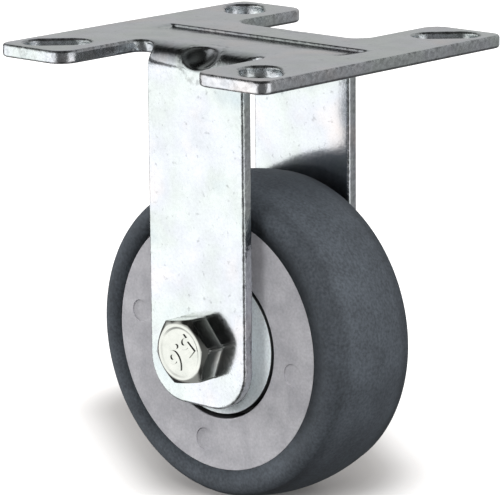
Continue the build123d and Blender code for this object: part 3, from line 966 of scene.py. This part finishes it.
def stage_floor():
    """A pale floor, white to the camera outside a painted soft shadow where its glow is left out, that goes
    over into a white backdrop.
    """
    mesh = bmesh.new()
    corners = [(-3.0, -3.0), (3.0, -3.0), (3.0, 3.0), (-3.0, 3.0)]
    mesh.faces.new([mesh.verts.new((x, y, cad_box[0][2])) for x, y in corners])
    floor = new_object("floor", plain_mesh("floor", mesh))
    material = bpy.data.materials.new("pale_floor")
    floor.data.materials.append(material)
    tree = empty_tree(material)
    rays = add(tree, "ShaderNodeLightPath")
    bounce = add(tree, "ShaderNodeBsdfDiffuse", {"Color": linear("585858")})
    paint = add(tree, "ShaderNodeBsdfDiffuse", {"Color": linear("ABA8A6")})
    turned_way = add(tree, "ShaderNodeMapping", {
        "Vector": add(tree, "ShaderNodeTexCoord").outputs["Object"],
        "Location": (-shadow_aside * MM, 0.0, 0.0), "Rotation": (0.0, 0.0, -shadow_turn * RAD)})
    parts = add(tree, "ShaderNodeSeparateXYZ", {0: turned_way.outputs["Vector"]})
    along = add(tree, "ShaderNodeClamp", {
        "Value": parts.outputs["Y"], "Min": shadow_start * MM, "Max": shadow_end * MM})
    past = add(tree, "ShaderNodeMath", {
        0: parts.outputs["Y"], 1: along.outputs["Result"]}, operation="SUBTRACT")
    aside = add(tree, "ShaderNodeCombineXYZ", {0: parts.outputs["X"], 1: past.outputs["Value"]})
    away = add(tree, "ShaderNodeVectorMath", {0: aside.outputs["Vector"]}, operation="LENGTH")
    reach = floor_glow[-1][0]
    share_away = add(tree, "ShaderNodeMapRange", {"Value": away.outputs["Value"], "From Max": reach * MM})
    # Painted shadow: the floor's glow fades out near the line behind the wheel
    fade = add(tree, "ShaderNodeValToRGB", {"Fac": share_away.outputs["Result"]}, stops=[
        (distance / reach, [level] * 3 + [1.0]) for distance, level in floor_glow])
    glow = add(tree, "ShaderNodeEmission", {"Color": fade.outputs["Color"]})
    both = add(tree, "ShaderNodeAddShader", {0: paint.outputs[0], 1: glow.outputs[0]})
    seen = add(tree, "ShaderNodeMixShader", {
        0: rays.outputs["Is Camera Ray"], 1: bounce.outputs[0], 2: both.outputs[0]})
    add(tree, "ShaderNodeOutputMaterial", {"Surface": seen.outputs[0]})
    floor.visible_glossy = False


# What gloss sees round the studio: a compass bearing from +Y towards +X, and how bright it is there.
# Low down a white table and screens stand to the front left and the right, with a dark gap where the
# camera is and grey behind. Higher up the screens are dimmer.
studio_peak = 1.35
studio_low = (
    (-180, 0.95), (-172, 1.26), (-102, 1.26), (-94, 0.6), (-84, 0.1), (-66, 0.1), (-54, 0.47), (-20, 0.48),
    (2, 0.36), (32, 0.25), (54, 0.3), (68, 1.0), (92, 1.15), (106, 0.14), (164, 0.1), (180, 0.95),
)
studio_high = (
    (-180, 0.35), (-165, 0.55), (-140, 0.9), (-116, 0.98), (-108, 0.5), (-100, 0.08), (-86, 0.08),
    (-73, 0.42), (-60, 0.49), (-20, 0.47), (2, 0.42), (32, 0.36), (60, 0.24), (100, 0.1), (165, 0.08),
    (180, 0.35),
)
# How much of that is left at a height, from straight down to straight up: the ceiling is dark, and leans
ceiling_lean = -0.19
studio_rise = (
    (0.0, 0.25), (0.2, 0.3), (0.32, 1.0), (0.6, 1.0), (0.67, 0.91), (0.73, 0.82), (0.78, 0.7), (0.82, 0.56),
    (0.84, 0.4), (0.852, 0.2), (0.86, 0.05), (0.87, 0.01), (0.94, 0.03), (1.0, 0.12),
)


def studio_world():
    """White behind the object, soft light from above the right on it, and a studio for gloss to show."""
    world = bpy.data.worlds.new("studio")
    bpy.context.scene.world = world
    tree = empty_tree(world)
    rays = add(tree, "ShaderNodeLightPath")
    way = add(tree, "ShaderNodeTexCoord").outputs["Generated"]
    parts = add(tree, "ShaderNodeSeparateXYZ", {0: way})
    bearing = add(tree, "ShaderNodeMath", {
        0: parts.outputs["X"], 1: parts.outputs["Y"]}, operation="ARCTAN2")
    round_share = add(tree, "ShaderNodeMapRange", {
        "Value": bearing.outputs["Value"], "From Min": -math.pi, "From Max": math.pi})
    eye_level = add(tree, "ShaderNodeMapRange", {
        "Value": parts.outputs["Z"], "From Min": 0.24, "From Max": 0.38})
    lean = add(tree, "ShaderNodeMath", {
        0: parts.outputs["Y"], 1: ceiling_lean, 2: parts.outputs["Z"]}, operation="MULTIPLY_ADD")
    rise_share = add(tree, "ShaderNodeMapRange", {"Value": lean.outputs["Value"], "From Min": -1.0})
    low, high = (
        add(tree, "ShaderNodeValToRGB", {"Fac": round_share.outputs["Result"]}, stops=[
            ((angle + 180) / 360, [level / studio_peak] * 3 + [1.0]) for angle, level in levels])
        for levels in (studio_low, studio_high)
    )
    around = add(tree, "ShaderNodeMix", {
        0: eye_level.outputs["Result"], 2: low.outputs["Color"], 3: high.outputs["Color"]})
    height = add(tree, "ShaderNodeValToRGB", {"Fac": rise_share.outputs["Result"]}, stops=[
        (share, [level] * 3 + [1.0]) for share, level in studio_rise])
    level = add(tree, "ShaderNodeMath", {
        0: around.outputs[0], 1: height.outputs["Color"]}, operation="MULTIPLY")
    peak = add(tree, "ShaderNodeMath", {0: level.outputs["Value"], 1: studio_peak}, operation="MULTIPLY")
    shown = add(tree, "ShaderNodeBackground", {"Color": linear("FFFFFF"), "Strength": peak.outputs["Value"]})
    above = add(tree, "ShaderNodeVectorMath", {
        0: way, 1: Vector((0.35, -0.3, 0.89))}, operation="DOT_PRODUCT")
    soft = add(tree, "ShaderNodeMapRange", {
        "Value": above.outputs["Value"], "From Min": -0.3, "From Max": 1.0, "To Min": 0.08, "To Max": 0.66})
    even = add(tree, "ShaderNodeBackground", {
        "Color": linear("FFFFFF"), "Strength": soft.outputs["Result"]})
    white = add(tree, "ShaderNodeBackground", {"Color": linear("FFFFFF"), "Strength": 1.0})
    gloss = add(tree, "ShaderNodeMixShader", {
        0: rays.outputs["Is Glossy Ray"], 1: even.outputs[0], 2: shown.outputs[0]})
    camera = add(tree, "ShaderNodeMixShader", {
        0: rays.outputs["Is Camera Ray"], 1: gloss.outputs[0], 2: white.outputs[0]})
    add(tree, "ShaderNodeOutputWorld", {"Surface": camera.outputs[0]})


def softbox(name, place, size, power):
    """A soft lamp aimed at the wheel."""
    light = bpy.data.lights.new(name, "AREA")
    light.shape = "DISK"
    light.size = size
    light.energy = power
    lamp = new_object(name, light)
    lamp.location = place
    lamp.rotation_euler = (Vector((0, 0, axle_z * MM)) - Vector(place)).to_track_quat("-Z", "Y").to_euler()
    lamp.visible_glossy = False


def set_camera():
    """The camera of the photograph, turned by its azimuth, elevation and roll."""
    azimuth, elevation, roll = camera_azimuth * RAD, camera_elevation * RAD, camera_roll * RAD
    back = Vector((
        math.sin(azimuth) * math.cos(elevation),
        -math.cos(azimuth) * math.cos(elevation),
        math.sin(elevation),
    ))
    right = Vector((math.cos(azimuth), math.sin(azimuth), 0))
    up = back.cross(right)
    turn = Matrix((right, up, back)).transposed() @ Matrix.Rotation(roll, 3, "Z")
    data = bpy.data.cameras.new("camera")
    data.sensor_width = 36
    data.lens = camera_lens
    data.clip_start = 0.01
    camera = new_object("camera", data)
    camera.matrix_world = Matrix.Translation(camera_place) @ turn.to_4x4()
    bpy.context.scene.camera = camera


stage_floor()
studio_world()
softbox("left", (-0.96, -0.24, 0.2), 0.4, 8.5)
softbox("front", (-0.1, -0.96, 0.27), 0.4, 3.7)
softbox("right", (0.95, 0.0, 0.3), 0.6, 3.6)
softbox("key", (0.66, -0.52, 0.446), 0.35, 2.5)
softbox("back", (-0.4, 0.85, 0.45), 0.5, 1.6)
set_camera()
bpy.context.scene.view_settings.view_transform = "Standard"
